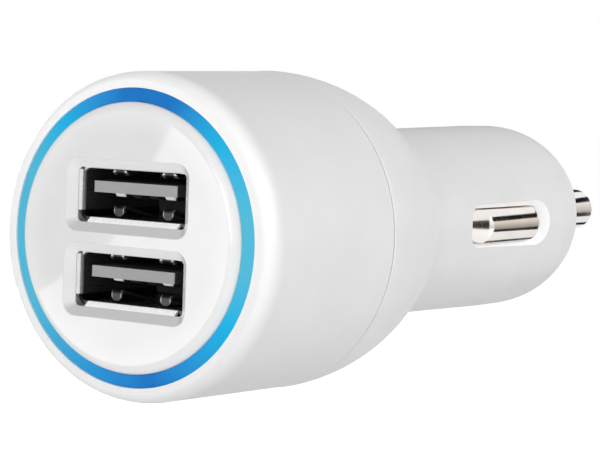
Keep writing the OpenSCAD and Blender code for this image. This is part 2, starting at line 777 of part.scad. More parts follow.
// Electrolytic can along +Z with its rolled groove and its vented top
module can(l) {
    vent_r = can_r - can_vent_w;
    rotate_extrude() polygon([[0, 0], [can_r - can_edge, 0], [can_r, can_edge],
        [can_r, can_groove_at - can_groove], [can_r - can_groove, can_groove_at],
        [can_r, can_groove_at + can_groove], [can_r, l - can_edge], [can_r - can_edge, l],
        [vent_r, l], [vent_r - can_vent_h, l - can_vent_h], [0, l - can_vent_h]]);
}

// Input capacitor, lying along the main board
module input_capacitor() {
    color("darkslategray") translate([0, input_can_y, board_z + can_r]) rotate([-90, 0, 0])
        can(input_can_l);
}

// Output capacitor, standing on the main board
module output_capacitor() {
    color("darkslategray") translate([0, output_can_y, board_z]) can(output_can_l);
}

// Chip body with a row of legs along both long sides, standing on the plane z = 0
module chip() {
    reach = chip_l + 2 * chip_leg_l;
    translate([-chip_l / 2, -chip_w / 2, chip_lift]) cube([chip_l, chip_w, chip_h - chip_lift]);
    for (i = [0:chip_legs]) translate([-reach / 2, (i - chip_legs / 2) * chip_leg_pitch - chip_leg_w / 2, 0])
        cube([reach, chip_leg_w, chip_leg_t]);
}

module converter_chip() {
    color("black") translate([0, converter_chip_y, board_z]) chip();
}

module port_chip() {
    color("black") translate([0, port_board_back_y, port_chip_z]) rotate([-90, 0, 0]) chip();
}

// Moulded diode with its two folded tabs
module diode() {
    tab_reach = diode_w + 2 * diode_tab_l;
    color("black") translate([0, diode_y, board_z]) {
        translate([-diode_w / 2, -diode_l / 2, diode_tab_t])
            cube([diode_w, diode_l, diode_h - diode_tab_t]);
        translate([-tab_reach / 2, -diode_tab_w / 2, 0]) cube([tab_reach, diode_tab_w, diode_tab_t]);
    }
}

// Centre contact: rounded pin, flange behind the bush, and a spigot for the spring
module centre_tip() {
    edge = [for (i = [0:curve_steps]) let (a = 90 * i / curve_steps)
        [tip_r - tip_edge_r * (1 - cos(a)), tip_reach - tip_edge_r * (1 - sin(a))]];
    color("silver") turned(concat(
        [[0, tip_flange_y - tip_spigot_l],
         [tip_spigot_r, tip_flange_y - tip_spigot_l],
         [tip_spigot_r, tip_flange_y],
         [tip_flange_r, tip_flange_y],
         [tip_flange_r, tip_flange_y + tip_flange_l],
         [tip_r, tip_flange_y + tip_flange_l]],
        edge,
        [[0, tip_reach]]));
}

// White bush pressed into the nose, with its collar outside
module tip_bush() {
    collar_edge = 0.4;
    bore = tip_r + tip_clear;
    color("white") turned([[bore, bush_in_y],
        [bush_r - snug / 2, bush_in_y],
        [bush_r - snug / 2, nose_end_y],
        [bush_collar_r, nose_end_y],
        [bush_collar_r, nose_end_y + bush_collar_l - collar_edge],
        [bush_collar_r - collar_edge, nose_end_y + bush_collar_l],
        [bore, nose_end_y + bush_collar_l]]);
}

// Coil spring between the cup and the flange of the centre contact, with a closed turn at
// each end
module tip_spring() {
    start_y = cup_y + cup_wall + snug + tip_wire_d / 2;
    end_y = tip_flange_y - snug - tip_wire_d / 2;
    open_l = end_y - start_y - 2 * tip_wire_d;
    steps = 16;
    sides = 8;
    last = steps * tip_turns;
    function coil_y(i) = let (turn = i / steps)
        start_y + min(turn, 1) * tip_wire_d
        + open_l * min(max(turn - 1, 0), tip_turns - 2) / (tip_turns - 2)
        + max(turn - tip_turns + 1, 0) * tip_wire_d;
    points = [for (i = [0:last], j = [0:sides - 1])
        let (a = 360 * i / steps, b = 360 * j / sides,
            r = spring_r + tip_wire_d / 2 * cos(b))
        [r * cos(a), coil_y(i) + tip_wire_d / 2 * sin(b), r * sin(a)]];
    sides_faces = [for (i = [0:last - 1], j = [0:sides - 1])
        let (k = (j + 1) % sides)
        [i * sides + j, (i + 1) * sides + j, (i + 1) * sides + k, i * sides + k]];
    color("gray") polyhedron(points, concat(sides_faces,
        [[for (j = [0:sides - 1]) j]],
        [[for (j = [sides - 1:-1:0]) last * sides + j]]));
}

// Brass cup on the end of the main board that the coil spring seats in
module spring_cup() {
    color("goldenrod") {
        turned([[0, cup_y], [cup_r, cup_y], [cup_r, cup_y + cup_l],
            [cup_r - cup_wall, cup_y + cup_l], [cup_r - cup_wall, cup_y + cup_wall],
            [0, cup_y + cup_wall]]);
        translate([0, 0, board_z + (cup_wall + loose) / 2])
            bar(cup_foot_w, cup_wall + loose, cup_y, cup_l);
    }
}

// Outline of a side contact in Y and Z, less an inset on every side
module side_outline(inset) {
    l = side_contact_l - 2 * inset;
    w = side_contact_w - 2 * inset;
    toe = side_toe_r - inset;
    for (z = [-1, 1]) translate([toe - l / 2, z * (w / 2 - toe)]) circle(toe);
    translate([-l / 2, toe - w / 2]) square([2 * toe, w - 2 * toe]);
    translate([toe - l / 2, -w / 2]) square([l - toe - w / 2, w]);
    translate([l / 2 - w / 2, 0]) circle(w / 2);
}

// Outline of the ramp and its rounded crest, as [radius, length] about the ramp's own axis
function ramp_points(inset) = let (
    top = side_ramp_r - inset,
    crest_r = side_crest_r - inset,
    crest_y = side_toe_y + side_ramp_l + inset * tan(side_ramp_a / 2),
    bend_y = crest_y + crest_r * tan(side_ramp_a / 2),
    start_y = side_toe_y - over,
    end_y = side_toe_y + side_window_l + over,
    arc = [for (i = [0:bend_steps])
        let (a = side_ramp_a + (side_crest_a - side_ramp_a) * i / bend_steps)
        [top - crest_r * (1 - cos(a)), bend_y - crest_r * sin(a)]],
    last = arc[bend_steps])
    concat([[0, start_y], [top - tan(side_ramp_a) * (crest_y - start_y), start_y]],
        arc,
        [[last[0] + tan(side_crest_a) * (end_y - last[1]), end_y], [0, end_y]]);

// Solid form of a side contact from x0 outwards, less an inset: walls, ramp, crown and heel
module side_form(x0, inset) {
    r = side_crown_r - inset;
    heel_y = side_mid_y + side_contact_l / 2 - side_crown_r + side_heel_over;
    intersection() {
        translate([x0, side_mid_y, 0]) rotate([90, 0, 90])
            linear_extrude(side_crown_x + over - x0) side_outline(inset);
        union() {
            translate([side_axis_x, 0, 0]) {
                disc(r, side_toe_y - over, heel_y);
                translate([0, heel_y, 0]) sphere(r);
            }
            translate([(x0 - over + side_axis_x) / 2, 0, 0])
                bar(side_axis_x - x0 + over, 2 * side_contact_w, side_toe_y - over,
                    side_contact_l + 2 * over);
        }
        translate([side_ramp_x, 0, 0]) turned(ramp_points(inset));
    }
}

// Pressed sheet contact on the +X side, hollow behind, with a flange that stays inside
module side_contact() {
    color("silver") difference() {
        union() {
            side_form(side_flange_x - side_sheet_t / 2, 0);
            translate([side_back_x, side_at, 0]) rotate([90, 0, 90]) linear_extrude(side_sheet_t)
                rounded_rect(side_window_l + 2 * side_flange, side_flange_w, side_toe_r);
        }
        side_form(side_back_x - over, side_sheet_t);
    }
}

// Points along a bend of radius r about [x, z], from angle a0 to a1
function bend(x, z, r, a0, a1) = [for (i = [0:bend_steps])
    let (a = a0 + (a1 - a0) * i / bend_steps) [x + r * cos(a), z + r * sin(a)]];

// Outline of a strip of thickness t along a line of points
function ribbon(p, t) = let (
    last = len(p) - 1,
    side = [for (i = [0:last]) let (
        d = p[min(i + 1, last)] - p[max(i - 1, 0)],
        n = [-d[1], d[0]] / norm(d)) n * t / 2])
    concat([for (i = [0:last]) p[i] + side[i]], [for (i = [last:-1:0]) p[i] - side[i]]);

// Bent strip on the main board that pushes a side contact out, on the +X side
module side_spring() {
    t = side_spring_t;
    nose_x = side_crown_x - side_sheet_t - side_gap - t / 2 - side_nose_r;
    foot_z = board_z + t / 2;
    knee = 2 * t;
    path = concat(
        [[side_spring_x - side_foot_l, foot_z]],
        bend(side_spring_x - knee, foot_z + knee, knee, -90, 0),
        bend(side_spring_x + knee, -side_nose_r - knee, knee, 180, 90),
        bend(nose_x, 0, side_nose_r, -90, 90),
        [[nose_x - side_nose_r, side_nose_r]]);
    color("silver") translate([0, side_mid_y + side_spring_w / 2, 0])
        rotate([90, 0, 0]) linear_extrude(side_spring_w) polygon(ribbon(path, t));
}

module upper_port_cage() { port_cage(port_zs[0]); }
module lower_port_cage() { port_cage(port_zs[1]); }
module upper_port_tongue() { port_tongue(port_zs[0]); }
module lower_port_tongue() { port_tongue(port_zs[1]); }
module side_contact_right() { side_contact(); }
module side_contact_left() { mirror([1, 0, 0]) side_contact(); }
module side_spring_right() { side_spring(); }
module side_spring_left() { mirror([1, 0, 0]) side_spring(); }

front_shell();
face_plate();
light_ring();
rear_shell();
upper_port_cage();
lower_port_cage();
upper_port_tongue();
lower_port_tongue();
port_pin(port_zs[0], pin_xs[0]);  // upper_pin_1
port_pin(port_zs[0], pin_xs[1]);  // upper_pin_2
port_pin(port_zs[0], pin_xs[2]);  // upper_pin_3
port_pin(port_zs[0], pin_xs[3]);  // upper_pin_4
port_pin(port_zs[1], pin_xs[0]);  // lower_pin_1
port_pin(port_zs[1], pin_xs[1]);  // lower_pin_2
port_pin(port_zs[1], pin_xs[2]);  // lower_pin_3
port_pin(port_zs[1], pin_xs[3]);  // lower_pin_4
port_board();
ring_led(led_angles[0]);  // ring_led_1
ring_led(led_angles[1]);  // ring_led_2
ring_led(led_angles[2]);  // ring_led_3
ring_led(led_angles[3]);  // ring_led_4
main_board();
board_header();
coil_core();
coil_winding();
input_capacitor();
output_capacitor();
converter_chip();
port_chip();
diode();
centre_tip();
tip_bush();
tip_spring();
spring_cup();
side_contact_right();
side_contact_left();
side_spring_right();
side_spring_left();
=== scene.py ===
"""Looks for the car USB charger plug: materials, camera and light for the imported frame."""

import json
import math

import bpy
from mathutils import Matrix, Vector


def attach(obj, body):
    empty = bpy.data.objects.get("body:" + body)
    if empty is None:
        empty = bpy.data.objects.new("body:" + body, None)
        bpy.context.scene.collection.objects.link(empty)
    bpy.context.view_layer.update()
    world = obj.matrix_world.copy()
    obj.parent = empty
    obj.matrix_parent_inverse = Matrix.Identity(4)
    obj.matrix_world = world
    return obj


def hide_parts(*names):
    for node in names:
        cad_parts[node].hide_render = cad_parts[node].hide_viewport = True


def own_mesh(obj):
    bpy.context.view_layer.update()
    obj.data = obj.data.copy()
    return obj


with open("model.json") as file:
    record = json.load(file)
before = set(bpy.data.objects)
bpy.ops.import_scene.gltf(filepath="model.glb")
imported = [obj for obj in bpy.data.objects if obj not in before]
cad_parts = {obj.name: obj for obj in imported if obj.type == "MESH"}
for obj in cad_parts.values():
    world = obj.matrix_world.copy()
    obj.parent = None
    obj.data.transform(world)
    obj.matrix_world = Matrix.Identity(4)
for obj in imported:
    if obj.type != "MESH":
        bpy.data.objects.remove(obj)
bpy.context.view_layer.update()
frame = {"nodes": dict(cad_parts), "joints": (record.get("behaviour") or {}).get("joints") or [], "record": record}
nodes = frame["nodes"]

MM = 0.001

# Camera, fitted to the photograph: turn, tilt and roll in degrees, place in millimetres
CAMERA_TURN = 33.438
CAMERA_TILT = 4.165
CAMERA_ROLL = 2.083
CAMERA_PLACE = (120.20, -195.72, 14.96)
CAMERA_LENS = 127.5

# Painted light and shade by place: pairs of millimetres between which a painted highlight or
# painted shade comes or goes. "Along" is a place along Y, "aside" a distance from the plane x = 0.

# Shells: the seam between them and how strong the painted highlight on its edges is, the front
# shoulder with its painted highlight, and half the height over which that highlight shades off
SEAM_ALONG = (-21.35, -20.93)
SEAM_SOFT = 0.08
SEAM_PAINTED_HIGHLIGHT = 0.3
SHOULDER_ALONG = (-41.9, -38.9)
SHOULDER_HEIGHT = 15

# Barrel: its radius at the socket's mouth, the growth of that per millimetre along Y, and its
# radius at the end
BARREL_RADIUS = 10.05
BARREL_SLOPE = 0.0214
GUIDE_RADIUS = 10.5

# Rims of the side windows, which get a painted highlight: their middle along Y, how far they reach
# from it, how far they lie aside, and their depth below the skin of the barrel
RIM_MIDDLE = 13.2
RIM_REACH = (10.2, 10.4)
RIM_ASIDE = (8.7, 8.9)
RIM_DEPTH = (0.04, 0.1)

# Plate: the step from its flat face to the bevels round the ports, the field that they lie in,
# and the distance from the axis at which the painted highlight on its rim comes in
BEVEL_ALONG = (-42.77, -42.74)
BEVEL_ASIDE = (7.6, 7.8)
BEVEL_HEIGHT = (8.2, 8.4)
PLATE_RIM_HIGHLIGHT = (9.0, 12.6)

# Tongues and contact strips of the ports: where painted shade sets in, and where the outer strips begin
TONGUE_ALONG = (-41.39, -41.25)
STRIP_ALONG = (-39.75, -39.6)
STRIP_ASIDE = (1.9, 2.0)

# Cages of the ports: the span of their painted shade, the end of the lips' painted highlight, by how
# much the lips of the side walls are shorter, where those walls begin, and where bare plating begins
CAGE_SPAN = (-42, -38)
LIP_ALONG = (-41.24, -41.2)
SIDE_LIP_CUT = 0.31
SIDE_ASIDE = (5.9, 6.1)
PLATING_ALONG = (-40.95, -40.8)

# Spring tabs of the cages, with the middle of each and the distance of its painted highlight edges
# from there, and the notches in painted shade in the lower corners of the mouth, with their height
# in the port
TAB_ALONG = (-40.3, -39.75)
TAB_ASIDE = (1.95, 3.8)
TAB_MIDDLE = 2.875
TAB_EDGE = (0.4, 0.7)
NOTCH_ASIDE = (5.2, 5.3)
NOTCH_HEIGHT = (-1.55, -1.45)

# Greys of the shells' plastic and of the painted highlights
SHELL_GREY = 0.74
PAINTED_HIGHLIGHT_GREY = 0.95

# Strength of the painted glow given off by the painted highlights, as a share of white
SHOULDER_GLOW = 0.08
RIM_GLOW = 0.07
STRIP_GLOW = 0.3
LIP_GLOW = 0.25

# Floor: height and size in millimetres, and how much it is lifted to white for the camera and
# in reflections
FLOOR_Z = -70
FLOOR_SIZE = 6000
FLOOR_LIFT = 0.6
FLOOR_MIRRORED = 0.3

port_heights = {mount["name"]: mount["pos_m"][2] for mount in frame["record"]["mounts"]}


def node_names(*parts):
    """Names of the CAD nodes that hold any of these words."""
    return [name for name in nodes if any(part in name for part in parts)]


class Shader:
    """A node material that is built up by name, with its Principled shader in place."""

    def __init__(self, name):
        self.material = bpy.data.materials.new(name)
        self.material.use_nodes = True
        self.tree = self.material.node_tree
        self.principled = self.tree.nodes["Principled BSDF"]
        coordinates = self.add("ShaderNodeTexCoord").outputs
        self.place = coordinates["Object"]
        self.facing = coordinates["Normal"]
        self.axes = self.add("ShaderNodeSeparateXYZ", {"Vector": self.place}).outputs

    def add(self, kind, inputs=None, **settings):
        """A new node with these settings. An input's value is a number, a colour or a socket."""
        node = self.tree.nodes.new(kind)
        for key, value in settings.items():
            setattr(node, key, value)
        for key, value in (inputs or {}).items():
            self.put(node, key, value)
        return node

    def put(self, node, key, value):
        if isinstance(value, bpy.types.NodeSocket):
            self.tree.links.new(value, node.inputs[key])
        else:
            node.inputs[key].default_value = value

    def set(self, **values):
        """Sets sockets of the Principled shader, with underscores for spaces."""
        for key, value in values.items():
            self.put(self.principled, key.replace("_", " "), value)

    def glow(self, share, strength):
        """Painted glow: white light of its own, of this strength where the share is 1."""
        self.set(Emission_Color=(1, 1, 1, 1), Emission_Strength=self.product(share, strength))

    def math(self, operation, *values):
        node = self.add("ShaderNodeMath", operation=operation)
        for index, value in enumerate(values):
            self.put(node, index, value)
        return node.outputs[0]

    def product(self, *factors):
        value = factors[0]
        for factor in factors[1:]:
            value = self.math("MULTIPLY", value, factor)
        return value

    def distance(self, value, middle):
        """How far the value is from the middle, which is in millimetres."""
        return self.math("ABSOLUTE", self.math("SUBTRACT", value, middle * MM))

    def aside(self):
        """Distance from the plane x = 0."""
        return self.distance(self.axes["X"], 0)

    def radius(self):
        """Distance from the plug's axis."""
        squares = [self.product(self.axes[key], self.axes[key]) for key in "XZ"]
        return self.math("SQRT", self.math("ADD", *squares))

    def noise(self, size, detail=2.0, stretch=(1, 1, 1)):
        """Noise whose grains are about size millimetres across, from 0 to 1."""
        place = self.add("ShaderNodeMapping", {"Vector": self.place, "Scale": stretch}).outputs[0]
        inputs = {"Vector": place, "Scale": 1 / (size * MM), "Detail": detail}
        return self.add("ShaderNodeTexNoise", inputs).outputs["Fac"]

    def spread(self, value, low, high):
        """A value around 0.5 turned into one from low to high."""
        return self.scale(value, 0.25, 0.75, low, high)

    def scale(self, value, start, end, low=0.0, high=1.0):
        """Goes evenly from low to high while the value goes from start to end."""
        inputs = {"Value": value, "From Min": start, "From Max": end, "To Min": low, "To Max": high}
        return self.add("ShaderNodeMapRange", inputs).outputs[0]

    def ease(self, value, start, end, low=0.0, high=1.0):
        """Goes smoothly from low to high while the value goes from start to end, in millimetres."""
        inputs = {"Value": value, "From Min": start * MM, "From Max": end * MM,
                  "To Min": low, "To Max": high}
        return self.add("ShaderNodeMapRange", inputs, interpolation_type="SMOOTHSTEP").outputs[0]

    def band(self, value, start, end, soft=0.05):
        """1 between start and end, in millimetres, and 0 outside them."""
        return self.product(self.ease(value, start - soft, start),
                            self.ease(value, end, end + soft, 1.0, 0.0))

    def mix(self, factor, first, second):
        """First colour at factor 0, second at factor 1."""
        colours = {key: (*value, 1) if isinstance(value, tuple) else value
                   for key, value in (("A", first), ("B", second))}
        node = self.add("ShaderNodeMix", {"Factor": factor, **colours}, data_type="RGBA")
        return node.outputs["Result"]

    def ramp(self, value, stops):
        """A colour for each value, from stops of (position, colour)."""
        node = self.add("ShaderNodeValToRGB", {"Fac": value})
        elements = node.color_ramp.elements
        while len(elements) < len(stops):
            elements.new(0.5)
        for element, (position, colour) in zip(elements, stops):
            element.position = position
            element.color = (*colour, 1)
        return node.outputs["Color"]

    def tint(self, value, dark, light):
        """A colour between dark and light, as the value goes from low to high."""
        return self.ramp(value, [(0.3, dark), (0.7, light)])

    def bump(self, height, depth, strength):
        """Relief of the given depth in millimetres."""
        inputs = {"Height": height, "Distance": depth * MM, "Strength": strength}
        return self.add("ShaderNodeBump", inputs).outputs[0]


def grey(level, warmth=0.0):
    return (level * (1 + warmth), level, level * (1 - warmth))


def scaled(colour, factor):
    return tuple(channel * factor for channel in colour)


def plastic(name, colour, roughness, grain=0.12, relief=0.002, vary=0.02, change=None):
    """Moulded plastic with a fine grain and a little unevenness in colour and gloss.

    A change turns the base colour into another one in some places.
    """
    shader = Shader(name)
    fine = shader.noise(grain, 3)
    broad = shader.noise(6, 2)
    base = shader.tint(broad, scaled(colour, 1 - vary), scaled(colour, 1 + vary))
    if change:
        base = change(shader, base)
    shader.set(
        Base_Color=base,
        Roughness=shader.spread(broad, roughness * 0.9, roughness * 1.1),
        Normal=shader.bump(fine, relief, 0.4),
        IOR=1.49,
    )
    return shader


def metal(name, colour, roughness, stretch=(1, 1, 1), scratch=0.25, relief=0.002, vary=0.06,
          change=None, metallic=1.0):
    """Plated or rolled metal with fine marks that run the way it was worked."""
    shader = Shader(name)
    marks = shader.noise(scratch, 4, stretch)
    broad = shader.noise(2.5, 2)
    base = shader.tint(broad, scaled(colour, 1 - vary), colour)
    if change:
        base = change(shader, base)
    shader.set(
        Base_Color=base,
        Roughness=shader.spread(marks, roughness * 0.75, roughness * 1.25),
        Normal=shader.bump(marks, relief, 0.3),
        Metallic=metallic,
    )
    return shader


def painted_tongue_shade(shader, base):
    """Painted shade on a port's tongue behind its front."""
    return shader.mix(shader.ease(shader.axes["Y"], *TONGUE_ALONG), base, grey(0.05))


def strip_end_highlight(shader):
    """1 on the front ends of the outer contact strips, where a painted highlight goes."""
    front = shader.ease(shader.axes["Y"], *STRIP_ALONG, 1.0, 0.0)
    outer = shader.ease(shader.aside(), *STRIP_ASIDE)
    return shader.product(front, outer)


def painted_strip_shade(shader, base):
    """Painted shade on the contact strips, apart from the painted highlight on their ends."""
    return shader.mix(strip_end_highlight(shader), grey(0.04), base)


def painted_rim_highlight(shader):
    """1 on the slanted rims of the side windows, below the skin of the barrel: a painted highlight."""
    axes = shader.axes
    skin = shader.math("MULTIPLY_ADD", axes["Y"], BARREL_SLOPE, BARREL_RADIUS * MM)
    skin = shader.math("MINIMUM", skin, GUIDE_RADIUS * MM)
    below = shader.ease(shader.math("SUBTRACT", skin, shader.radius()), *RIM_DEPTH)
    outside = shader.ease(shader.aside(), *RIM_ASIDE)
    reach = shader.ease(shader.distance(axes["Y"], RIM_MIDDLE), *RIM_REACH, 1.0, 0.0)
    return shader.product(below, outside, reach)


def painted_seam_highlight(shader):
    """Painted highlight along the thin edges of the seam between the two shells."""
    return shader.product(shader.band(shader.axes["Y"], *SEAM_ALONG, SEAM_SOFT), SEAM_PAINTED_HIGHLIGHT)


def painted_shoulder_highlight(shader):
    """Painted highlight on the front shell towards the lit ring, less below than above."""
    near = shader.ease(shader.axes["Y"], *SHOULDER_ALONG, 1.0, 0.0)
    rise = shader.scale(shader.axes["Z"], -SHOULDER_HEIGHT * MM, SHOULDER_HEIGHT * MM, 0.55, 1.0)
    return shader.product(near, rise)


def shell_plastic(name, painted_highlight_mask, glow):
    """Shell plastic, paler and glowing a little along the seam and under the mask: a painted highlight."""
    # Where the painted highlight goes: along the seam and under the given mask
    def pale(shader):
        return shader.math("MAXIMUM", painted_highlight_mask(shader), painted_seam_highlight(shader))

    def with_painted_highlight(shader, base):
        return shader.mix(pale(shader), base, grey(PAINTED_HIGHLIGHT_GREY))

    shader = plastic(name, grey(SHELL_GREY), 0.42, change=with_painted_highlight)
    shader.glow(pale(shader), glow)
    return shader


def plate_painted_light(shader, base):
    """Painted highlights on the port bevels and plate rim, with painted shade where the bevels face up."""
    inside = shader.product(shader.ease(shader.axes["Y"], *BEVEL_ALONG),
                            shader.ease(shader.aside(), *BEVEL_ASIDE, 1.0, 0.0),
                            shader.ease(shader.distance(shader.axes["Z"], 0), *BEVEL_HEIGHT, 1.0, 0.0))
    # Painted shade on the bevels that face up, painted highlight on the others
    facing = shader.add("ShaderNodeSeparateXYZ", {"Vector": shader.facing}).outputs["Z"]
    bevels = shader.mix(shader.scale(facing, 0.1, 0.5), grey(0.96), grey(0.68))
    # Painted highlight on the plate's rim
    base = shader.mix(shader.ease(shader.radius(), *PLATE_RIM_HIGHLIGHT), base, grey(PAINTED_HIGHLIGHT_GREY))
    return shader.mix(inside, base, bevels)


def strip_metal():
    """Plated contact strips in painted shade, the outer ones' front ends with a painted highlight and glow."""
    shader = metal("pin_tin", grey(0.95), 0.35, stretch=(1, 0.1, 1), change=painted_strip_shade, metallic=0.1)
    shader.glow(strip_end_highlight(shader), STRIP_GLOW)
    return shader


def cage_metal(name, middle):
    """Plated sheet of a port's cage: painted highlight on the lips, then ever deeper painted shade inside.

    The middle is the height of the port, in metres.
    """
    shader = Shader(name)
    axes = shader.axes
    aside = shader.aside()
    height = shader.math("SUBTRACT", axes["Z"], middle)
    place = shader.math("MULTIPLY_ADD", shader.ease(aside, *SIDE_ASIDE), SIDE_LIP_CUT * MM, axes["Y"])
    depth = shader.scale(place, CAGE_SPAN[0] * MM, CAGE_SPAN[1] * MM)
    marks = shader.noise(0.25, 4, (1, 0.1, 1))
    # Painted highlight on the lips, then painted shade that deepens into the port
    colour = shader.ramp(depth, [(0.19, grey(0.98)), (0.20, grey(0.42)), (0.29, grey(0.38)),
                                 (0.31, grey(0.14)), (1.0, grey(0.12))])
    colour = shader.mix(shader.spread(marks, 0.0, 0.25), colour, grey(0.02))
    # Spring tabs: painted highlight on their edges, painted shade in their cores
    tabs = shader.product(shader.band(aside, *TAB_ASIDE), shader.band(axes["Y"], *TAB_ALONG))
    edges = shader.ease(shader.distance(aside, TAB_MIDDLE), *TAB_EDGE)
    colour = shader.mix(tabs, colour, shader.mix(edges, grey(0.03), grey(0.5)))
    # Painted shade in the notches of the mouth's lower corners
    painted_notch_shade = shader.product(shader.ease(aside, *NOTCH_ASIDE), shader.ease(height, *NOTCH_HEIGHT, 1.0, 0.0))
    colour = shader.mix(painted_notch_shade, colour, grey(0.01))
    shader.set(
        Base_Color=colour,
        Roughness=shader.spread(marks, 0.16, 0.30),
        Normal=shader.bump(marks, 0.002, 0.3),
        Metallic=shader.ease(place, *PLATING_ALONG, 0.1, 0.7),
    )
    # Painted glow on the lips, away from the notches
    lips = shader.ease(place, *LIP_ALONG, 1.0, 0.0)
    shader.glow(shader.product(lips, shader.math("SUBTRACT", 1.0, painted_notch_shade)), LIP_GLOW)
    return shader


def lit_ring():
    """Blue light guide: pale cyan at the sides, deep blue above and below."""
    shader = Shader("ring_light")
    axes = shader.axes
    turn = shader.math("ARCTAN2", axes["Z"], axes["X"])
    turn = shader.math("ADD", shader.math("DIVIDE", turn, 2 * math.pi), 0.5)
    deep, mid = (0.006, 0.139, 0.45), (0.014, 0.25, 0.57)
    bright, pale = (0.005, 0.386, 0.66), (0.07, 0.42, 0.58)
    stops = [(0.0, pale), (0.08, pale), (0.20, mid), (0.285, deep), (0.345, mid), (0.41, bright),
             (0.47, pale), (0.53, pale), (0.62, bright), (0.665, mid), (0.70, deep), (0.765, deep),
             (0.81, mid), (0.86, bright), (0.93, pale), (1.0, pale)]
    colour = shader.ramp(turn, stops)
    broad = shader.noise(3, 2)
    soft = shader.mix(shader.spread(broad, 0.0, 0.12), colour, (0.02, 0.35, 0.65))
    shader.set(Base_Color=soft, Emission_Color=soft, Emission_Strength=0.30, Roughness=0.45,
               Specular_IOR_Level=0.12, Normal=shader.bump(shader.noise(0.2, 2), 0.001, 0.2))
    return shader


def circuit_board(name):
    """Green solder mask over raised tracks."""
    shader = Shader(name)
    tracks = shader.add("ShaderNodeTexBrick", {
        "Vector": shader.place, "Scale": 1 / (6 * MM), "Mortar Size": 0.03, "Mortar Smooth": 0.2,
        "Color1": (0, 0, 0, 1), "Color2": (0, 0, 0, 1), "Mortar": (1, 1, 1, 1)}).outputs["Fac"]
    colour = shader.ramp(tracks, [(0.2, (0.01, 0.10, 0.04)), (0.8, (0.03, 0.20, 0.08))])
    shader.set(Base_Color=colour, Roughness=shader.spread(shader.noise(0.3), 0.25, 0.4),
               Normal=shader.bump(tracks, 0.03, 0.5))
    return shader


def winding():
    """Enamelled copper wire, laid side by side."""
    shader = Shader("copper_winding")
    wires = shader.add("ShaderNodeTexWave", {
        "Vector": shader.place, "Scale": 1 / (2.5 * MM), "Distortion": 0.4, "Detail": 1.0},
        wave_type="BANDS", bands_direction="Z").outputs["Fac"]
    shader.set(Base_Color=shader.ramp(wires, [(0.1, (0.20, 0.07, 0.03)), (0.7, (0.62, 0.28, 0.12))]),
               Metallic=0.9, Roughness=shader.spread(shader.noise(0.2), 0.2, 0.35),
               Normal=shader.bump(wires, 0.05, 0.6))
    return shader


def dress(names, shader):
    for name in names:
        data = nodes[name].data
        data.materials.clear()
        data.materials.append(shader.material)


def smooth(names, angle=28):
    """Smooths the shading of curved walls and keeps the edges that are sharper than angle."""
    for name in names:
        piece = nodes[name]
        for face in piece.data.polygons:
            face.use_smooth = True
        piece.data.set_sharp_from_angle(angle=math.radians(angle))


smooth(nodes)

shell_white = shell_plastic("shell_white", painted_shoulder_highlight, SHOULDER_GLOW)
barrel_white = shell_plastic("barrel_white", painted_rim_highlight, RIM_GLOW)
plate_white = plastic("plate_white", grey(0.87), 0.03, grain=0.5, relief=0.0001, change=plate_painted_light)
bush_white = plastic("bush_white", grey(0.72), 0.5)
tongue_grey = plastic("tongue_grey", grey(0.36), 0.5, grain=0.08, change=painted_tongue_shade)
header_black = plastic("header_black", grey(0.02), 0.45)
chip_black = plastic("chip_black", grey(0.025), 0.55, grain=0.05, relief=0.01)
ferrite = plastic("ferrite", grey(0.05), 0.6, grain=0.1, relief=0.02, vary=0.15)
led_lens = plastic("led_lens", (0.85, 0.80, 0.50), 0.2)
contact_nickel = metal("contact_nickel", grey(0.86, 0.045), 0.11, stretch=(1, 0.08, 1))
tip_chrome = metal("tip_chrome", grey(0.88), 0.08, stretch=(1, 0.15, 1))
can_aluminium = metal("can_aluminium", grey(0.62), 0.3)
spring_steel = metal("spring_steel", grey(0.45), 0.28)
cup_brass = metal("cup_brass", (0.72, 0.50, 0.20), 0.25)

dress(["front_shell"], shell_white)
dress(["rear_shell"], barrel_white)
dress(["face_plate"], plate_white)
dress(["light_ring"], lit_ring())
dress(["tip_bush"], bush_white)
dress(["upper_port_cage"], cage_metal("upper_cage_nickel", port_heights["usb_port_upper"]))
dress(["lower_port_cage"], cage_metal("lower_cage_nickel", port_heights["usb_port_lower"]))
dress(node_names("_tongue"), tongue_grey)
dress(node_names("_pin_"), strip_metal())
dress(["port_board", "main_board"], circuit_board("circuit_board"))
dress(node_names("ring_led"), led_lens)
dress(["board_header"], header_black)
dress(["coil_core"], ferrite)
dress(["coil_winding"], winding())
dress(node_names("_capacitor"), can_aluminium)
dress(["converter_chip", "port_chip", "diode"], chip_black)
dress(node_names("side_contact"), contact_nickel)
dress(["centre_tip"], tip_chrome)
dress(["tip_spring"] + node_names("side_spring"), spring_steel)
dress(["spring_cup"], cup_brass)


def press_spring(node):
    """Puts a piece in the place of a CAD spring: a copy of its mesh, on the housing.
    """
    mesh = nodes[node].data.copy()
    piece = bpy.data.objects.new(node + "_wire", mesh)
    bpy.context.scene.collection.objects.link(piece)
    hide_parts(node)
    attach(piece, "housing")
    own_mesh(piece)


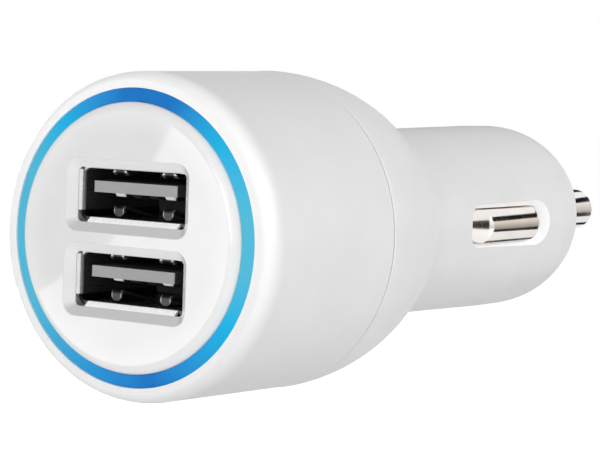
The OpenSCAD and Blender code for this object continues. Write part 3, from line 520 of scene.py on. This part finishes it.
def make_camera():
    """Camera at the photograph's viewpoint, with its small roll."""
    turn, tilt, roll = (math.radians(a) for a in (CAMERA_TURN, CAMERA_TILT, CAMERA_ROLL))
    right = Vector((math.cos(turn), math.sin(turn), 0))
    back = Vector((math.sin(turn) * math.cos(tilt), -math.cos(turn) * math.cos(tilt), math.sin(tilt)))
    up = back.cross(right)
    camera_x = right * math.cos(roll) + up * math.sin(roll)
    camera_y = up * math.cos(roll) - right * math.sin(roll)
    data = bpy.data.cameras.new("camera")
    data.lens = CAMERA_LENS
    data.sensor_width = 36
    data.clip_start, data.clip_end = 0.01, 20
    camera = bpy.data.objects.new("camera", data)
    bpy.context.scene.collection.objects.link(camera)
    axes = Matrix((camera_x, camera_y, back)).transposed().to_4x4()
    camera.matrix_world = Matrix.Translation(Vector(CAMERA_PLACE) * MM) @ axes
    bpy.context.scene.camera = camera


def area_light(name, place, size, strength):
    """Square soft light that faces the origin; place and size are in millimetres."""
    data = bpy.data.lights.new(name, "AREA")
    data.shape = "SQUARE"
    data.size = size * MM
    data.energy = strength
    light = bpy.data.objects.new(name, data)
    bpy.context.scene.collection.objects.link(light)
    light.location = Vector(place) * MM
    light.rotation_mode = "QUATERNION"
    light.rotation_quaternion = (-Vector(place)).to_track_quat("-Z", "Y")


def card(name, corners, top, bottom=None, colour=(1, 1, 1)):
    """Flat card, with corners in millimetres, that shows in reflections and lights nothing.

    It is as bright as top at its highest corner and as bottom at its lowest one.
    """
    mesh = bpy.data.meshes.new(name)
    mesh.from_pydata([Vector(c) * MM for c in corners], [], [range(len(corners))])
    piece = bpy.data.objects.new(name, mesh)
    bpy.context.scene.collection.objects.link(piece)
    material = bpy.data.materials.new(name)
    material.use_nodes = True
    tree = material.node_tree
    tree.nodes.remove(tree.nodes["Principled BSDF"])
    glow = tree.nodes.new("ShaderNodeEmission")
    glow.inputs["Color"].default_value = (*colour, 1)
    place = tree.nodes.new("ShaderNodeTexCoord")
    axes = tree.nodes.new("ShaderNodeSeparateXYZ")
    tree.links.new(place.outputs["Object"], axes.inputs[0])
    levels = tree.nodes.new("ShaderNodeMapRange")
    tree.links.new(axes.outputs["Z"], levels.inputs["Value"])
    heights = [corner[2] * MM for corner in corners]
    levels.inputs["From Min"].default_value = min(heights)
    levels.inputs["From Max"].default_value = max(heights)
    levels.inputs["To Min"].default_value = top if bottom is None else bottom
    levels.inputs["To Max"].default_value = top
    tree.links.new(levels.outputs[0], glow.inputs["Strength"])
    tree.links.new(glow.outputs[0], tree.nodes["Material Output"].inputs["Surface"])
    mesh.materials.append(material)
    piece.visible_camera = False
    piece.visible_diffuse = False
    piece.visible_shadow = False
    piece.visible_transmission = False


def make_floor():
    """Pale floor that keeps the object's shadow and shows white beyond it."""
    mesh = bpy.data.meshes.new("floor")
    half = FLOOR_SIZE / 2
    corners = [(-half, -half), (half, -half), (half, half), (-half, half)]
    mesh.from_pydata([Vector((x, y, FLOOR_Z)) * MM for x, y in corners], [], [range(4)])
    floor = bpy.data.objects.new("floor", mesh)
    bpy.context.scene.collection.objects.link(floor)
    material = bpy.data.materials.new("floor")
    material.use_nodes = True
    tree = material.node_tree
    shader = tree.nodes["Principled BSDF"]
    shader.inputs["Base Color"].default_value = (0.9, 0.9, 0.9, 1)
    shader.inputs["Roughness"].default_value = 0.9
    path = tree.nodes.new("ShaderNodeLightPath")
    mirrored = tree.nodes.new("ShaderNodeMath")
    mirrored.operation = "MULTIPLY"
    mirrored.inputs[1].default_value = FLOOR_MIRRORED
    tree.links.new(path.outputs["Is Glossy Ray"], mirrored.inputs[0])
    lift = tree.nodes.new("ShaderNodeMath")
    lift.operation = "MULTIPLY_ADD"
    lift.inputs[1].default_value = FLOOR_LIFT
    tree.links.new(path.outputs["Is Camera Ray"], lift.inputs[0])
    tree.links.new(mirrored.outputs[0], lift.inputs[2])
    shader.inputs["Emission Color"].default_value = (1, 1, 1, 1)
    tree.links.new(lift.outputs[0], shader.inputs["Emission Strength"])
    mesh.materials.append(material)


def make_world(low_level, high_level, rear_share, shown_level):
    """White surroundings, seen at an even level.

    They light from low_level below to high_level above, times rear_share from the tip's side.
    """
    world = bpy.data.worlds.new("studio")
    world.use_nodes = True
    bpy.context.scene.world = world
    tree = world.node_tree
    background = tree.nodes["Background"]
    background.inputs["Color"].default_value = (1, 1, 1, 1)
    path = tree.nodes.new("ShaderNodeLightPath")
    seen = tree.nodes.new("ShaderNodeMath")
    seen.operation = "MAXIMUM"
    tree.links.new(path.outputs["Is Camera Ray"], seen.inputs[0])
    tree.links.new(path.outputs["Is Glossy Ray"], seen.inputs[1])
    place = tree.nodes.new("ShaderNodeTexCoord")
    axes = tree.nodes.new("ShaderNodeSeparateXYZ")
    tree.links.new(place.outputs["Generated"], axes.inputs[0])
    lighting = tree.nodes.new("ShaderNodeMapRange")
    tree.links.new(axes.outputs["Z"], lighting.inputs["Value"])
    lighting.inputs["From Min"].default_value = -1
    lighting.inputs["To Min"].default_value = low_level
    lighting.inputs["To Max"].default_value = high_level
    rear = tree.nodes.new("ShaderNodeMapRange")
    tree.links.new(axes.outputs["Y"], rear.inputs["Value"])
    rear.inputs["To Min"].default_value = 1.0
    rear.inputs["To Max"].default_value = rear_share
    shaded = tree.nodes.new("ShaderNodeMath")
    shaded.operation = "MULTIPLY"
    tree.links.new(lighting.outputs[0], shaded.inputs[0])
    tree.links.new(rear.outputs[0], shaded.inputs[1])
    levels = tree.nodes.new("ShaderNodeMapRange")
    tree.links.new(seen.outputs[0], levels.inputs["Value"])
    tree.links.new(shaded.outputs[0], levels.inputs["To Min"])
    levels.inputs["To Max"].default_value = shown_level
    tree.links.new(levels.outputs[0], background.inputs["Strength"])


for joint in frame["joints"]:
    for spring in joint["deforming_nodes"]:
        press_spring(spring["node"])

make_camera()
make_floor()
make_world(low_level=0.98, high_level=0.30, rear_share=0.68, shown_level=1.0)
area_light("key", place=(500, 120, 200), size=260, strength=1.35)
area_light("front", place=(120, -600, 120), size=300, strength=1.1)
area_light("rear", place=(-500, 350, -30), size=250, strength=1.5)
card("softbox", [(-205, -342, 27), (-241, -342, -32), (-285, -342, -58), (-150, -342, -180),
                 (-60, -342, 60)], 4.0)
card("dark_upper", [(4, 120, 34), (80, 120, 51), (80, 120, 21.5), (28, 120, 24.5)], 0.005)
card("grey_middle", [(28, 120, 24.5), (95, 120, 21.5), (95, 120, -36), (34, 120, -12)], 0.95, 0.12,
     (1.0, 0.93, 0.84))
card("dark_lower", [(34, 120, -12), (80, 120, -30), (80, 120, -46), (27, 120, -25)], 0.03)
card("dark_bottom", [(1, 120, -30), (10, 120, -56), (10, 120, -66), (-10, 120, -66), (-10, 120, -24)], 0.03)
card("dark_rear", [(-15, 120, 31), (-40, 120, -5), (-90, 120, -5), (-90, 120, 50)], 0.03)
card("dark_side", [(163, -84, 22), (210, -65, 22), (210, -65, -24), (163, -84, -24)], 0.01)

bpy.context.scene.view_settings.view_transform = "Standard"
